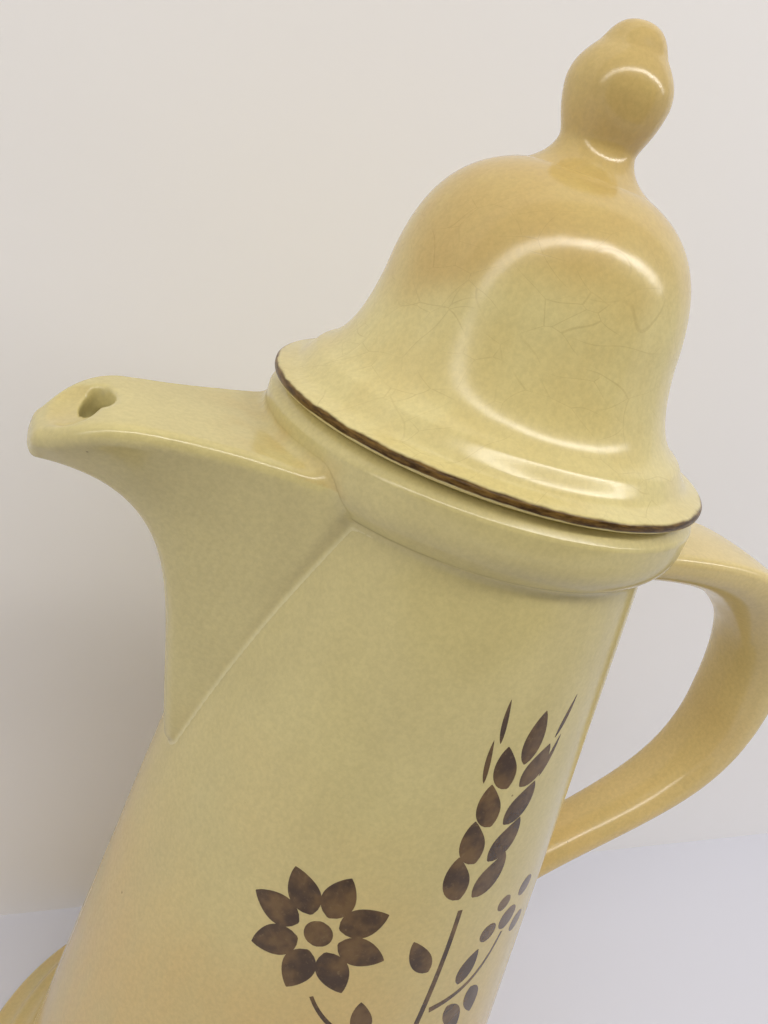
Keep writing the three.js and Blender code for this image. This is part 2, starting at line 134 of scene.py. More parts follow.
# %% [markdown]
# ## The body
# The body is a tall cone with a wall 4.5 mm thick, as slip casting leaves it, a flared foot that steps like
# the lid's brim, and a collar round the mouth. The collar is a soft bead: a sloping seat for the lid, a short
# side, and a bulge that runs in to the cone. The foot is hollow underneath, so that the pot stands on a ring.
# A filled copy, the blank, is kept as a tool for cutting and joining, and is thrown away later.

# %% Sizes of the body
COLLAR_HEIGHT = 11.7
COLLAR_RADIUS = 38.4
COLLAR_FOOT_RADIUS = 35.9
CONE_TOP, CONE_BASE = 34.4, 52.8
WALL = 4.5
MOUTH_RADIUS = 30.4
FOOT_HEIGHT = 19.0               # where the flare of the foot begins
FLOOR = 10.0                     # height of the floor inside
HOLLOW, HOLLOW_RADIUS = 4, 53    # the hollow under the pot, inside the foot ring
COLLAR_FOOT = POT_HEIGHT - COLLAR_HEIGHT


def cone_radius(height):
    """Outside radius of the cone."""
    return CONE_BASE + (CONE_TOP - CONE_BASE) * (height - FOOT_HEIGHT) / (COLLAR_FOOT - FOOT_HEIGHT)


def body_outside():
    """From the foot ring up to the seat of the lid."""
    shoulder, side_foot = POT_HEIGHT - 2.2, POT_HEIGHT - 5.2
    return [
        *corner((55, 4.6), (57, 0), (62, 0), 1.2),
        *corner((58, 0), (63.9, 0), (65, 2.4), 1.4),
        *curve((64.8, 1.6), (65.4, 3.2), (64.9, 4.8), (63.6, 5.3)),
        *curve((63.6, 5.3), (62.2, 6.2), (60.6, 7.0), (59.7, 8.4)),
        *curve((59.7, 8.4), (59.2, 9.6), (58.6, 10.3), (57.6, 10.5), 8),
        *curve((57.6, 10.5), (55.2, 11.2), (cone_radius(13.5), 14.5), (cone_radius(19), 19)),
        *((cone_radius(z), z) for z in range(24, 182, 4)),
        *corner((cone_radius(100), 100), (cone_radius(COLLAR_FOOT), COLLAR_FOOT),
                (COLLAR_FOOT_RADIUS, COLLAR_FOOT + 0.4), 1.5),
        *curve((COLLAR_FOOT_RADIUS - 0.5, COLLAR_FOOT + 0.3), (COLLAR_FOOT_RADIUS + 1.1, COLLAR_FOOT + 1.8),
               (COLLAR_RADIUS, side_foot - 3.2), (COLLAR_RADIUS, side_foot)),
        *corner((COLLAR_RADIUS, side_foot), (COLLAR_RADIUS, shoulder),
                (COLLAR_RADIUS - 2.2, POT_HEIGHT), 0.5),
        *corner((COLLAR_RADIUS, shoulder), (COLLAR_RADIUS - 2.3, POT_HEIGHT), (32, POT_HEIGHT), 0.8),
    ]


def body_inside():
    """From the mouth down to the middle of the floor."""
    low = cone_radius(FLOOR) - WALL
    return [
        *corner((35, POT_HEIGHT), (MOUTH_RADIUS, POT_HEIGHT), (MOUTH_RADIUS, 190), 0.8),
        *corner((MOUTH_RADIUS, 192), (MOUTH_RADIUS, 187), (cone_radius(175) - WALL, 175), 2.5),
        *((cone_radius(z) - WALL, z) for z in range(171, 22, -4)),
        *corner((cone_radius(100) - WALL, 100), (low, FLOOR), (0, FLOOR), 9, 10),
        (0, FLOOR),
    ]


underside = [(0, HOLLOW), (HOLLOW_RADIUS, HOLLOW)]
body = turned("body_shell", [*underside, *body_outside(), *body_inside()])
body_blank = turned("body_blank", [*underside, *body_outside(), (0, POT_HEIGHT)])
print("body faces:", len(body.data.polygons))

# %% [markdown]
# ## Rings joined into a skin
# The spout and the handle aren't turned. Each is a row of cross sections along a path, as a boat has ribs.
# A section is a ring of points, and bmesh.ops.bridge_loops joins each ring to the next; the two end rings
# are filled. The sections have rounded corners, so the skin has no sharp edge anywhere.

# %% Skins through rings, and cuts
def skin(name, rings):
    """A closed skin through rings of as many points each, in mm from the pot's axis and the table."""
    bm = bmesh.new()
    loops = []
    for ring in rings:
        points = [bm.verts.new(((AXIS_X + p[0]) * MM, p[1] * MM, p[2] * MM)) for p in ring]
        loops.append([bm.edges.new((a, b)) for a, b in zip(points, points[1:] + points[:1])])
    for near, far in zip(loops, loops[1:]):
        bmesh.ops.bridge_loops(bm, edges=near + far)
    for end in (loops[0], loops[-1]):
        bmesh.ops.holes_fill(bm, edges=end, sides=0)
    bmesh.ops.recalc_face_normals(bm, faces=bm.faces[:])
    return new_object(name, bm)


def settle(thing):
    """Applies the modifiers of an object to its mesh."""
    evaluated = thing.evaluated_get(bpy.context.evaluated_depsgraph_get())
    mesh = bpy.data.meshes.new_from_object(evaluated)
    thing.modifiers.clear()
    old, thing.data = thing.data, mesh
    bpy.data.meshes.remove(old)
    return thing


def combine(thing, other, operation):
    """Joins another solid to this one, or cuts it away."""
    change = thing.modifiers.new("combine", "BOOLEAN")
    change.operation = operation
    change.object = other
    change.solver = "EXACT"
    return settle(thing)


def discard(*things):
    """Deletes solids that only served to cut or to measure."""
    for thing in things:
        bpy.data.meshes.remove(thing.data)

# %% [markdown]
# ## The spout
# The spout is a long beak. Its top face lies level and then falls over the lip, and below it the sides draw
# together into a rounded keel that climbs from a point on the cone in one long curve, as a ship's bow does.
# The coffee comes out of an oval hole in the top face and runs to the lip in a shallow trough.

# %% Sizes and sections of the spout
SPOUT_TOP = POT_HEIGHT - 6.3
SPOUT_DEPTH = 63.4               # from the top face down to the point on the cone
SPOUT_REACH = 73.2
ROOT_REACH = 30.0
HALF_WIDTH = 12.0                # before the lip
WIDENING = 9.0                   # what the root adds to it
LIP_LENGTH, LIP_FALL, LIP_THICKNESS = 13.5, 5.4, 6.0
NOSE = 1.5                       # depth of the rounded end
TOP_EDGE = 1.8                   # radius along the top face
KEEL_EDGES = (3.6, 5.3)          # radius along the keel, at the root and at the lip


def spout_half_width(reach):
    """Half of the spout's width, seen from above."""
    lip = SPOUT_REACH - LIP_LENGTH
    if reach > lip:
        return HALF_WIDTH * math.sqrt(max(0.0, 1 - ((reach - lip) / LIP_LENGTH) ** 2))
    return HALF_WIDTH + WIDENING * ((lip - reach) / (lip - ROOT_REACH)) ** 1.7


def spout_top_height(reach):
    """Height of the top face: level, and then falling over the lip."""
    fall = (reach - (SPOUT_REACH - LIP_LENGTH - NOSE)) / LIP_LENGTH
    return SPOUT_TOP - LIP_FALL * min(max(fall, 0.0), 1.0) ** 2.4


def spout_station(share):
    """Top point, keel point, half width and keel radius of the spout, from the cone (0) to the lip (1)."""
    lip_reach = SPOUT_REACH - NOSE
    top_reach = ROOT_REACH + (lip_reach - ROOT_REACH) * share
    keel_foot = SPOUT_TOP - SPOUT_DEPTH
    lip_under = spout_top_height(lip_reach) - LIP_THICKNESS
    start = (cone_radius(keel_foot) + 1.0, keel_foot)
    keel = start if share <= 0 else curve(
        start, (start[0] + 5.9, keel_foot + 24.9), (lip_reach - 25.3, lip_under - 1.2),
        (lip_reach, lip_under), 1000,
    )[round(share * 1000) - 1]
    under = KEEL_EDGES[0] + (KEEL_EDGES[1] - KEEL_EDGES[0]) * min(share * 1.3, 1.0)
    return (top_reach, spout_top_height(top_reach)), keel, spout_half_width(top_reach), under


def beak_section(top, keel, half_width, under, edge=TOP_EDGE):
    """A ring with three rounded corners: two along the top face and one along the keel."""
    down = (keel[0] - top[0], keel[1] - top[1])
    depth = math.hypot(*down)
    down = (down[0] / depth, down[1] / depth)
    under = min(under, depth / 2.05, half_width)
    edge = min(edge, depth / 4.2, half_width / 2)
    rise = depth - under - edge
    slope = math.acos((under - edge) / math.hypot(rise, half_width - edge))
    turn = slope - math.atan2(rise, half_width - edge)
    arcs = (
        (half_width - edge, edge, edge, -math.pi / 2, turn, 7),
        (0, depth - under, under, turn, math.pi - turn, 15),
        (edge - half_width, edge, edge, math.pi - turn, math.pi * 1.5, 7),
    )
    ring = []
    for across, along, radius, first, last, steps in arcs:
        for i in range(steps + 1):
            angle = first + (last - first) * i / steps
            a = along + radius * math.sin(angle)
            ring.append((-(top[0] + down[0] * a), across + radius * math.cos(angle), top[1] + down[1] * a))
    return ring


def oval_section(back, front, half_width):
    """An oval ring with as many points as a beak section has, from back to front, each (reach, height)."""
    count = len(beak_section((0, 1), (0, 0), 1, 0.1, 0.1))
    ring = []
    for i in range(count):
        angle = (i + 0.5) / count * math.tau - math.pi / 2
        share = (1 + math.sin(angle)) / 2
        reach, height = (back[k] + (front[k] - back[k]) * share for k in (0, 1))
        ring.append((-reach, half_width * math.cos(angle), height))
    return ring

# %% The spout's skin
def spout_skin():
    """From inside the wall of the cone to the rounded end, with the sections closer together at the lip."""
    stations = 34
    rings = []
    root_top, root_keel, width, under = spout_station(0)
    rings.append(beak_section(
        (root_top[0] - 6, root_top[1]), (root_keel[0] - WALL, root_keel[1] - 1.5), width, under))
    for i in range(stations + 1):
        rings.append(beak_section(*spout_station(1 - (1 - i / stations) ** 1.7)))
    top, keel, width, under = spout_station(1)
    middle = ((top[0] + keel[0]) / 2, (top[1] + keel[1]) / 2)
    for degrees in (12, 24, 36, 48, 60, 72, 82):
        shrink, out = math.cos(math.radians(degrees)), NOSE * math.sin(math.radians(degrees))
        shrunk = [(middle[0] + (p[0] - middle[0]) * shrink + out,
                   middle[1] + (p[1] - middle[1]) * shrink) for p in (top, keel)]
        rings.append(beak_section(*shrunk, width * shrink, under * shrink))
    return skin("spout_shell", rings)

# %% [markdown]
# ## The way that the coffee takes
# A cast spout is hollow, and the body behind it is open, so a second row of sections, smaller by the wall's
# thickness, is cut out of both. It starts inside the pot and ends as the oval pour hole. The trough from the
# hole to the lip was pressed in with a thumb or a tool, so it is cut with a flattened ball.

# %% Channel and trough
POUR_HOLE = 64.3                 # reach of the hole's middle
HOLE_LENGTH, HOLE_HALF_WIDTH = (2.3, 2.2), 4.4
HOLE_ASIDE = 1.3                 # the hole was cut a little off the middle
CHANNEL_HALF_WIDTH = 11.0
TOP_WALL, SIDE_WALL = 3.6, 4.1   # what is left of the spout round its channel
TROUGH_REACH, TROUGH_HALF = 67.9, (4.4, 7.2, 2.1)
TROUGH_LIFT = 0.9                # the flattened ball's middle above the face, so the trough is shallow


def spout_channel():
    """The hollow of the spout, from inside the pot to above the pour hole."""
    def inset(share):
        top, keel, width, under = spout_station(share)
        depth = math.hypot(keel[0] - top[0], keel[1] - top[1])
        down = ((keel[0] - top[0]) / depth, (keel[1] - top[1]) / depth)
        return [
            (top[0] + down[0] * TOP_WALL, top[1] + down[1] * TOP_WALL),
            (keel[0] - down[0] * SIDE_WALL, keel[1] - down[1] * SIDE_WALL),
            width - SIDE_WALL, max(under - 2.2, 1.5),
        ]
    at_wall = inset(0.04)
    at_wall[0] = (at_wall[0][0], min(at_wall[0][1], COLLAR_FOOT - 3))
    at_wall[2] = CHANNEL_HALF_WIDTH
    in_pot = [(at_wall[0][0] - 15.5, at_wall[0][1]), (at_wall[1][0] - 15.5, at_wall[1][1]), *at_wall[2:]]
    rings = [beak_section(*s, 2.2) for s in (in_pot, at_wall, *(inset(u) for u in (0.22, 0.38, 0.54, 0.68)))]
    back, front = POUR_HOLE - HOLE_LENGTH[0], POUR_HOLE + HOLE_LENGTH[1]
    for ring in (oval_section((back, SPOUT_TOP - 4.0), (front, SPOUT_TOP - 6.7), HOLE_HALF_WIDTH),
                 oval_section((back, SPOUT_TOP + 1.5), (front, SPOUT_TOP + 1.5), HOLE_HALF_WIDTH)):
        rings.append([(x, y + HOLE_ASIDE, z) for x, y, z in ring])
    return skin("channel", rings)


def spout_trough():
    """A flattened ball, tilted as the lip falls."""
    half = TROUGH_HALF[0]
    high, low = spout_top_height(TROUGH_REACH - half), spout_top_height(TROUGH_REACH + half)
    bm = bmesh.new()
    bmesh.ops.create_uvsphere(bm, u_segments=48, v_segments=24, radius=1)
    place = Matrix.Translation(((AXIS_X - TROUGH_REACH) * MM, 0, ((high + low) / 2 + TROUGH_LIFT) * MM))
    tilt = Matrix.Rotation(-math.atan2(high - low, 2 * half), 4, "Y")
    size = Matrix.Diagonal((*(reach * MM for reach in TROUGH_HALF), 1))
    bmesh.ops.transform(bm, matrix=place @ tilt @ size, verts=bm.verts[:])
    return new_object("trough", bm)


channel = spout_channel()
trough = spout_trough()
spout = combine(combine(spout_skin(), trough, "DIFFERENCE"), channel, "DIFFERENCE")
body = combine(body, channel, "DIFFERENCE")
print("spout faces:", len(spout.data.polygons), "body faces:", len(body.data.polygons))

# %% [markdown]
# ## The handle
# One loop: it leaves the cone just under the collar, runs out level, turns down and comes back to the cone in
# a long slant. It was cast in a two-part mould. At the top its outer face is nearly flat with softly rounded
# edges, and lower down it is half an oval. Its inner face is rounded, and the whole gets narrower downwards.
# A curve with a bevel keeps one section all the way, so the handle is made of sections, as the spout is.

# %% Sizes and sections of the handle
HANDLE_REACH = 96.7
HANDLE_THICKNESS = 8.4
HANDLE_CROWN = 0.5               # how much the outer face bulges
HANDLE_WIDTHS = (23.6, 14.0)     # at the upper and the lower end
HANDLE_DROP, BEND_DROP = 95.9, 39.0
HANDLE_SWELL = 4.5               # what the inside of the upper bend is thicker by
HANDLE_ROOT = 3.6                # how far the ends reach into the wall


def handle_path():
    """Points along the middle of the handle, with their directions."""
    half = HANDLE_THICKNESS / 2
    widest = HANDLE_REACH - half - HANDLE_CROWN
    upper = COLLAR_FOOT - 2.3 - half
    lower, middle = upper - HANDLE_DROP, upper - BEND_DROP
    start = (cone_radius(upper) - HANDLE_ROOT, upper - 0.5)
    path = [start]
    path += curve(start, (68.5, upper + 1), (widest, upper + 3.7), (widest, middle), 36)
    path += curve((widest, middle), (widest, middle - 28.6), (cone_radius(lower) + 23.1, lower + 24),
                  (cone_radius(lower) - HANDLE_ROOT, lower - 2), 36)
    steps = []
    for i, p in enumerate(path):
        a, b = path[max(i - 1, 0)], path[min(i + 1, len(path) - 1)]
        length = math.hypot(b[0] - a[0], b[1] - a[1])
        steps.append((p, ((b[0] - a[0]) / length, (b[1] - a[1]) / length)))
    return steps


def strap_section(width, swell, lower):
    """(across, outwards) pairs; the outside is nearly flat where lower is 0, half an oval where it is 1."""
    edge = 2.0 + 1.7 * lower
    side = HANDLE_THICKNESS / 2 - edge
    outer = []
    for middle, first in ((width / 2 - edge, 0), (edge - width / 2, math.pi / 2)):
        for i in range(8):
            angle = first + i / 7 * math.pi / 2
            outer.append((middle + edge * math.cos(angle), side + edge * math.sin(angle)))
        if first == 0:
            for k in range(1, 8):
                x = middle * (1 - k / 4)
                outer.append((x, side + edge + HANDLE_CROWN * (1 - (x / middle) ** 2)))
    ring = []
    for i, (x, up) in enumerate(outer):
        angle = math.pi * i / (len(outer) - 1)
        oval = (width / 2 * math.cos(angle), side + (edge + HANDLE_CROWN) * math.sin(angle))
        ring.append((x + (oval[0] - x) * lower, up + (oval[1] - up) * lower))
    depth = side + HANDLE_THICKNESS / 2 + swell
    power = 0.65 + 0.25 * max(lower, swell / HANDLE_SWELL)
    for i in range(1, 28):
        angle = i / 28 * math.pi
        ring.append((-width / 2 * math.cos(angle), side - depth * math.sin(angle) ** power))
    return ring


def handle_skin():
    """Sections along the path; width, swell and shape change with the share of the way."""
    rings = []
    path = handle_path()
    for i, ((x, z), (dx, dz)) in enumerate(path):
        share = i / (len(path) - 1)
        t = min(max((share - 0.2) / 0.75, 0), 1)
        width = HANDLE_WIDTHS[0] + (HANDLE_WIDTHS[1] - HANDLE_WIDTHS[0]) * t * t * (3 - 2 * t)
        apart = min(abs(share - 0.3) / 0.25, 1)
        swell = HANDLE_SWELL * (1 - apart * apart * (3 - 2 * apart))
        lower = min(max((share - 0.45) / 0.3, 0), 1)
        lower = lower * lower * (3 - 2 * lower)
        section = strap_section(width, swell, lower)
        rings.append([(x - dz * up, across, z + dx * up) for across, up in section])
    return skin("handle_loop", rings)


handle = handle_skin()
print("handle faces:", len(handle.data.polygons))

# %% [markdown]
# ## Joints smoothed with slip
# Where spout and handle meet the body, the potter wipes the joint with slip, and the glaze fills it further,
# so the surfaces run into each other. A bevel can't follow such a joint on a curved body. Instead the piece
# is joined to a copy of the body, the result is rebuilt as one fine even mesh with a voxel remesh, and only
# the points near the joint are smoothed. Cutting the body away again, grown by a hair, leaves the piece with
# a thin foot that runs out flat on the body. The piece stays separate, as its solid is.

# %% Tools for soft joints
JOINT_HAIR = 0.03                # mm between the thin foot of a joint and the body


def grown(blank, by):
    """A copy of a solid whose surface is moved outwards."""
    bm = bmesh.new()
    bm.from_mesh(blank.data)
    bm.normal_update()
    for point in bm.verts:
        point.co += point.normal * by * MM
    return new_object(blank.name + "_grown", bm)


def slab(low, high):
    """A plain block used to cut off what a joint doesn't need, in mm."""
    bm = bmesh.new()
    bmesh.ops.create_cube(bm, size=1)
    size = Matrix.Diagonal(((high[0] - low[0]) * MM, (high[1] - low[1]) * MM, (high[2] - low[2]) * MM, 1))
    middle = [(a + b) / 2 * MM for a, b in zip(low, high)]
    bmesh.ops.transform(bm, matrix=Matrix.Translation(middle) @ size, verts=bm.verts[:])
    return new_object("slab", bm)


def largest_part(thing):
    """Deletes every loose fragment but the largest."""
    bm = bmesh.new()
    bm.from_mesh(thing.data)
    unseen, groups = set(bm.verts), []
    while unseen:
        stack, group = [unseen.pop()], []
        while stack:
            point = stack.pop()
            group.append(point)
            for edge in point.link_edges:
                other = edge.other_vert(point)
                if other in unseen:
                    unseen.discard(other)
                    stack.append(other)
        groups.append(group)
    groups.sort(key=len)
    for group in groups[:-1]:
        bmesh.ops.delete(bm, geom=group, context="VERTS")
    bm.to_mesh(thing.data)
    bm.free()
    return len(groups) - 1


def nearest(tree, point):
    """Distance to the nearest place on another piece, in mm."""
    return tree.find_nearest(point)[3] / MM


def weigh(thing, name, weight):
    """A vertex group whose weights come from a function of the point, in steps of a tenth."""
    group = thing.vertex_groups.new(name=name)
    levels = {}
    for point in thing.data.vertices:
        level = round(min(max(weight(point.co), 0.0), 1.0) * 10)
        if level:
            levels.setdefault(level, []).append(point.index)
    for level, points in levels.items():
        group.add(points, level / 10, "REPLACE")


def smooth(thing, group, rounds):
    """Smooths the points of a group, or all of them."""
    change = thing.modifiers.new("smooth", "SMOOTH")
    change.factor = 0.5
    change.iterations = rounds
    if group:
        change.vertex_group = group
    return settle(thing)


def slip_joint(piece, block, voxel, zones, calm):
    """Gives a piece soft joints to the body. zones: (name, rounds, weight function of piece, body, point)."""
    piece_tree = BVHTree.FromObject(piece, bpy.context.evaluated_depsgraph_get())
    body_tree = BVHTree.FromObject(body_blank, bpy.context.evaluated_depsgraph_get())
    part = body_blank.copy()
    part.data = body_blank.data.copy()
    bpy.context.scene.collection.objects.link(part)
    combine(part, block, "INTERSECT")
    combine(piece, part, "UNION")
    remesh = piece.modifiers.new("even", "REMESH")
    remesh.mode = "VOXEL"
    remesh.voxel_size = voxel * MM
    settle(piece)
    print(piece.name, "remeshed:", len(piece.data.polygons))
    smooth(piece, None, calm)
    for name, rounds, weight in zones:
        weigh(piece, name, lambda p: weight(nearest(piece_tree, p), nearest(body_tree, p), p))
        smooth(piece, name, rounds)
    combine(piece, body_grown, "DIFFERENCE")
    loose = largest_part(piece)
    piece.vertex_groups.clear()
    piece.data.shade_smooth()
    piece.data.set_sharp_from_angle(angle=math.radians(50))
    discard(part, block)
    print(piece.name, "joined:", len(piece.data.polygons), "faces,", loose, "fragments dropped")


body_grown = grown(body_blank, JOINT_HAIR)

# %% Where a joint is smoothed
def near_joint(reach):
    """Full weight on the line where piece and body meet, fading to nothing at a distance."""
    return lambda to_piece, to_body, p: 1.15 - max(to_piece, to_body) / reach


def near_collar(to_piece, to_body, p):
    """The wide hollow between a piece and the collar."""
    return (1.2 - max(to_piece, to_body) / 6.5) if p.z / MM > COLLAR_FOOT + 0.5 else 0.0


def near_hole(to_piece, to_body, p):
    """The rims of the pour hole and the trough."""
    reach = -(p.x / MM - AXIS_X)
    return 0.7 if reach > 58 and p.z / MM > SPOUT_TOP - 7.5 else 0.0

# %% The spout's joint
slip_joint(
    spout, slab((AXIS_X - 45, -30, 112), (AXIS_X - 8, 30, 200)), 0.4,
    (("joint", 10, near_joint(3.0)), ("collar", 60, near_collar), ("hole", 18, near_hole)), 3,
)

# %% The handle's joints
slip_joint(
    handle, slab((AXIS_X + 8, -22, 66), (AXIS_X + 54, 22, 199)), 0.45,
    (("joint", 24, near_joint(4.0)), ("collar", 60, near_collar)), 4,
)

# %% [markdown]
# ## The lid and its knob
# The lid is a bell: a brim with a step, a flare, a narrow waist and a domed crown. Under the brim hangs the
# flange that keeps the lid in the mouth. The knob is a ball with a blunt cone on it, on a neck that flares
# out where it was joined to the crown. Both are turned, so the same helper makes them.

# %% Profiles of the lid and the knob
BRIM_UNDER = -0.26               # the brim's underside all but touches the seat
CROWN_RISE = 43.9                # top of the crown
KNOB_SHIFT = (0.5, -0.2)         # the knob was set down a little off the middle


def lid_profile():
    """From the middle of the hollow round the flange and the brim to the top of the crown."""
    outside = [
        (36.1, BRIM_UNDER),
        *curve((36.1, BRIM_UNDER), (37.3, -0.2), (38.3, 0.1), (38.4, 0.9), 8),
        *corner((38.4, 0.9), (38.4, 1.75), (36.4, 2.5), 0.75, 6),
        *curve((37.6, 2.0), (36.6, 2.45), (35.2, 2.45), (34.5, 3.3)),
        *curve((34.5, 3.3), (34.0, 3.75), (33.2, 5.0), (32.65, 5.7), 10),
        *curve((32.65, 5.7), (32.3, 6.15), (31.7, 6.5), (31.0, 6.95), 8),
        *curve((31.0, 6.95), (28.0, 8.95), (26.2, 14.0), (25.2, 20.7), 16),
        *curve((25.2, 20.7), (24.2, 31.5), (21.0, 39.6), (10.8, 43.0), 24),
        *curve((10.8, 43.0), (8.4, 43.75), (4.0, CROWN_RISE), (0, CROWN_RISE), 8),
    ]
    inside = [
        (0, 39.9),
        *curve((0, 39.9), (15.0, 39.7), (20.4, 30.2), (21.2, 20.7), 20),
        *curve((21.2, 20.7), (22.4, 15.0), (24.6, 10.0), (25.9, 6.1), 12),
        *corner((25.9, 6), (25.9, -12), (29.5, -12), 0.9),
        *corner((26, -12), (29.5, -12), (29.5, 0), 0.9),
        *corner((29.5, -6), (29.5, BRIM_UNDER), (36, BRIM_UNDER), 0.6),
    ]
    return [(r, z + LID_BASE) for r, z in inside + outside]


def knob_profile():
    """Foot, neck, ball and blunt cone; the foot starts a little below the skin of the crown."""
    foot = CROWN_RISE - 0.15
    points = [
        (0, foot - 1.75), (11.8, foot - 1.75),
        *curve((11.8, foot - 1.4), (9.6, foot - 0.45), (6.7, foot + 1.2), (6.2, foot + 3.9), 14),
        *curve((6.2, foot + 3.9), (6.05, foot + 5.4), (7.8, foot + 7.0), (8.3, foot + 11.7), 14),
        *curve((8.3, foot + 11.7), (8.3, foot + 14.4), (7.0, foot + 16.0), (5.6, foot + 17.6), 14),
        *curve((5.6, foot + 17.6), (4.5, foot + 18.9), (4.2, foot + 21.95), (0, foot + 21.95), 18),
    ]
    return [(r, z + LID_BASE) for r, z in points]


lid = turned("lid_bell", lid_profile())
knob = turned("lid_knob", knob_profile(), 96, KNOB_SHIFT)
print("lid faces:", len(lid.data.polygons), "knob faces:", len(knob.data.polygons))

# %% [markdown]
# ## Which solid each piece stands for
# Every piece moves with one body of the model and hides the plain solid that it stands for. The lid and its
# knob ride on the lid, which lifts off; everything else rides on the pot.

# %% Ride and replace
for piece, node, body_name, slot_name in (
    (body, "body", "pot", "body_glaze"),
    (spout, "spout", "pot", "body_glaze"),
    (handle, "handle", "pot", "body_glaze"),
    (lid, "lid", "lid", "lid_glaze"),
    (knob, "knob", "lid", "lid_glaze"),
):
    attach(piece, body_name)
    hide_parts(node)
    print(piece.name, "rides on", body_name, "and stands for", node)

# %% [markdown]
# ## The brown decoration
# Coffee pots of this kind carry a stencilled sprig under the glaze. This one is generic: an ear of grain,
# a rosette with eight petals, berries, and pairs of leaves on one bent stem. Brown slip is laid on through a
# stencil before the glaze, so each mark has a crisp outline and is hardly raised. It could be painted by a
# material, but marks that are geometry keep their outline at any distance. Each starts as a small flat grid,
# which is bent to its outline, wrapped round the cone, and given a little thickness.

# %% Marks laid on the cone
SLIP = 0.05                      # mm, thickness of the brown slip
marks = bmesh.new()


def on_cone(x, z, out):
    """A place on the cone: x mm round from the middle of its near side, z mm above the table."""
    radius = cone_radius(z) + out
    angle = x / cone_radius(z) - math.pi / 2
    return Vector((AXIS_X + radius * math.cos(angle), radius * math.sin(angle), z)) * MM


def lay(centre_line, half_width, steps=14):
    """A mark along a line of (x, z) points; half_width is a function of the share of the line."""
    made = bmesh.ops.create_grid(marks, x_segments=4, y_segments=steps, size=1)
    for point in made["verts"]:
        side, share = point.co.x, (point.co.y + 1) / 2
        here, ahead = centre_line(share), centre_line(share + 0.01)
        along = Vector((ahead[0] - here[0], ahead[1] - here[1])).normalized()
        reach = side * half_width(min(max(share, 0.004), 0.996))
        point.co = on_cone(here[0] + along.y * reach, here[1] - along.x * reach, 0.02)


def leaf(x, z, towards, length, width, bend=0):
    """An almond-shaped mark that starts at (x, z); angles in degrees from straight up, to the right."""
    def line(share):
        angle = math.radians(towards + bend * share * 0.5)
        return x + length * share * math.sin(angle), z + length * share * math.cos(angle)
    lay(line, lambda share: width / 2 * math.sin(math.pi * share ** 0.8) ** 0.75)


def dot(x, z, radius):
    """A round mark."""
    lay(lambda share: (x, z + radius * (2 * share - 1)),
        lambda share: radius * math.sqrt(1 - (2 * share - 1) ** 2))


def stem(start, leave, arrive, end, width):
    """A mark along a cubic curve that gets thinner towards its end; gives back the curve."""
    def line(t):
        weights = ((1 - t) ** 3, 3 * t * (1 - t) ** 2, 3 * t * t * (1 - t), t ** 3)
        return tuple(sum(w * p[k] for w, p in zip(weights, (start, leave, arrive, end))) for k in (0, 1))
    lay(line, lambda share: width / 2 * (1 - 0.45 * share), 40)
    return line

# %% Ear and rosette
GRAIN_STEP = 7.4                 # mm from one pair of grains to the next


def ear(x, z, lean, pairs):
    """An ear of grain: grains in pairs up a straight line, one at the tip, and thin awns above them."""
    across, up = math.sin(math.radians(lean)), math.cos(math.radians(lean))
    for i in range(pairs):
        px, pz = x + GRAIN_STEP * i * across, z + GRAIN_STEP * i * up
        for side in (-1, 1):
            leaf(px + side * 1.3, pz, lean + side * 38, 9.4 - 0.3 * i, 5.0 - 0.2 * i, -side * 30)
            if i > 1:
                leaf(px + side * 5.9, pz + 8.6, lean + side * 14, 8.0, 1.0, -side * 8)
    leaf(x + GRAIN_STEP * pairs * across, z + GRAIN_STEP * pairs * up - 3.0, lean, 10.0, 4.0)


def rosette(x, z, radius, petals=8):
    """Petals round a dot, the first a little to the right of straight up."""
    dot(x, z, radius * 0.2)
    for i in range(petals):
        angle = 360 / petals * i + 12
        start = radius * 0.3
        leaf(x + start * math.sin(math.radians(angle)), z + start * math.cos(math.radians(angle)),
             angle, radius * 0.7, radius * 0.46)

# %% The sprig
main = stem((-1, 24), (-6, 60), (6, 90), (4, 125.5), 1.7)
ear(4.2, 128, 4, 4)
for share in (0.05, 0.18, 0.31, 0.43, 0.54):
    px, pz = main(share)
    leaf(px - 1.5, pz, -66, 16, 6.2, 56)
    leaf(px + 1.5, pz + 3, 62, 16, 6.2, -56)
stem((1.2, 95), (-5, 97), (-13, 98), (-17.5, 105.5), 1.3)
rosette(-19.5, 118.0, 12.4)
stem((5.2, 103), (10, 104.5), (16, 106), (18.5, 115.5), 1.3)
BERRIES = ((18.8, 118.6, 2.5), (24, 114.8, 2.2), (13.6, 117.6, 2.0), (21.8, 124.2, 2.1), (15.4, 123.4, 1.7))
for px, pz, radius in BERRIES:
    dot(px, pz, radius)
SMALL_LEAVES = (                 # place, direction and length
    (-5.5, 95.6, -160, 5.5), (-11.5, 97.6, -165, 6.0), (-6.5, 99.0, -25, 7.5), (9.5, 102.4, 140, 9.0),
    (14.5, 104.6, 150, 8.0), (10.3, 107.2, 10, 7.5), (1.8, 112.5, -42, 8.5),
)
for px, pz, towards, length in SMALL_LEAVES:
    leaf(px, pz, towards, length, 3.9, 14)

bmesh.ops.recalc_face_normals(marks, faces=marks.faces[:])
bmesh.ops.solidify(marks, geom=marks.faces[:], thickness=SLIP * MM)
bmesh.ops.recalc_face_normals(marks, faces=marks.faces[:])
sprig = new_object("sprig_decoration", marks, 60)
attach(sprig, "pot")
print("sprig faces:", len(sprig.data.polygons))

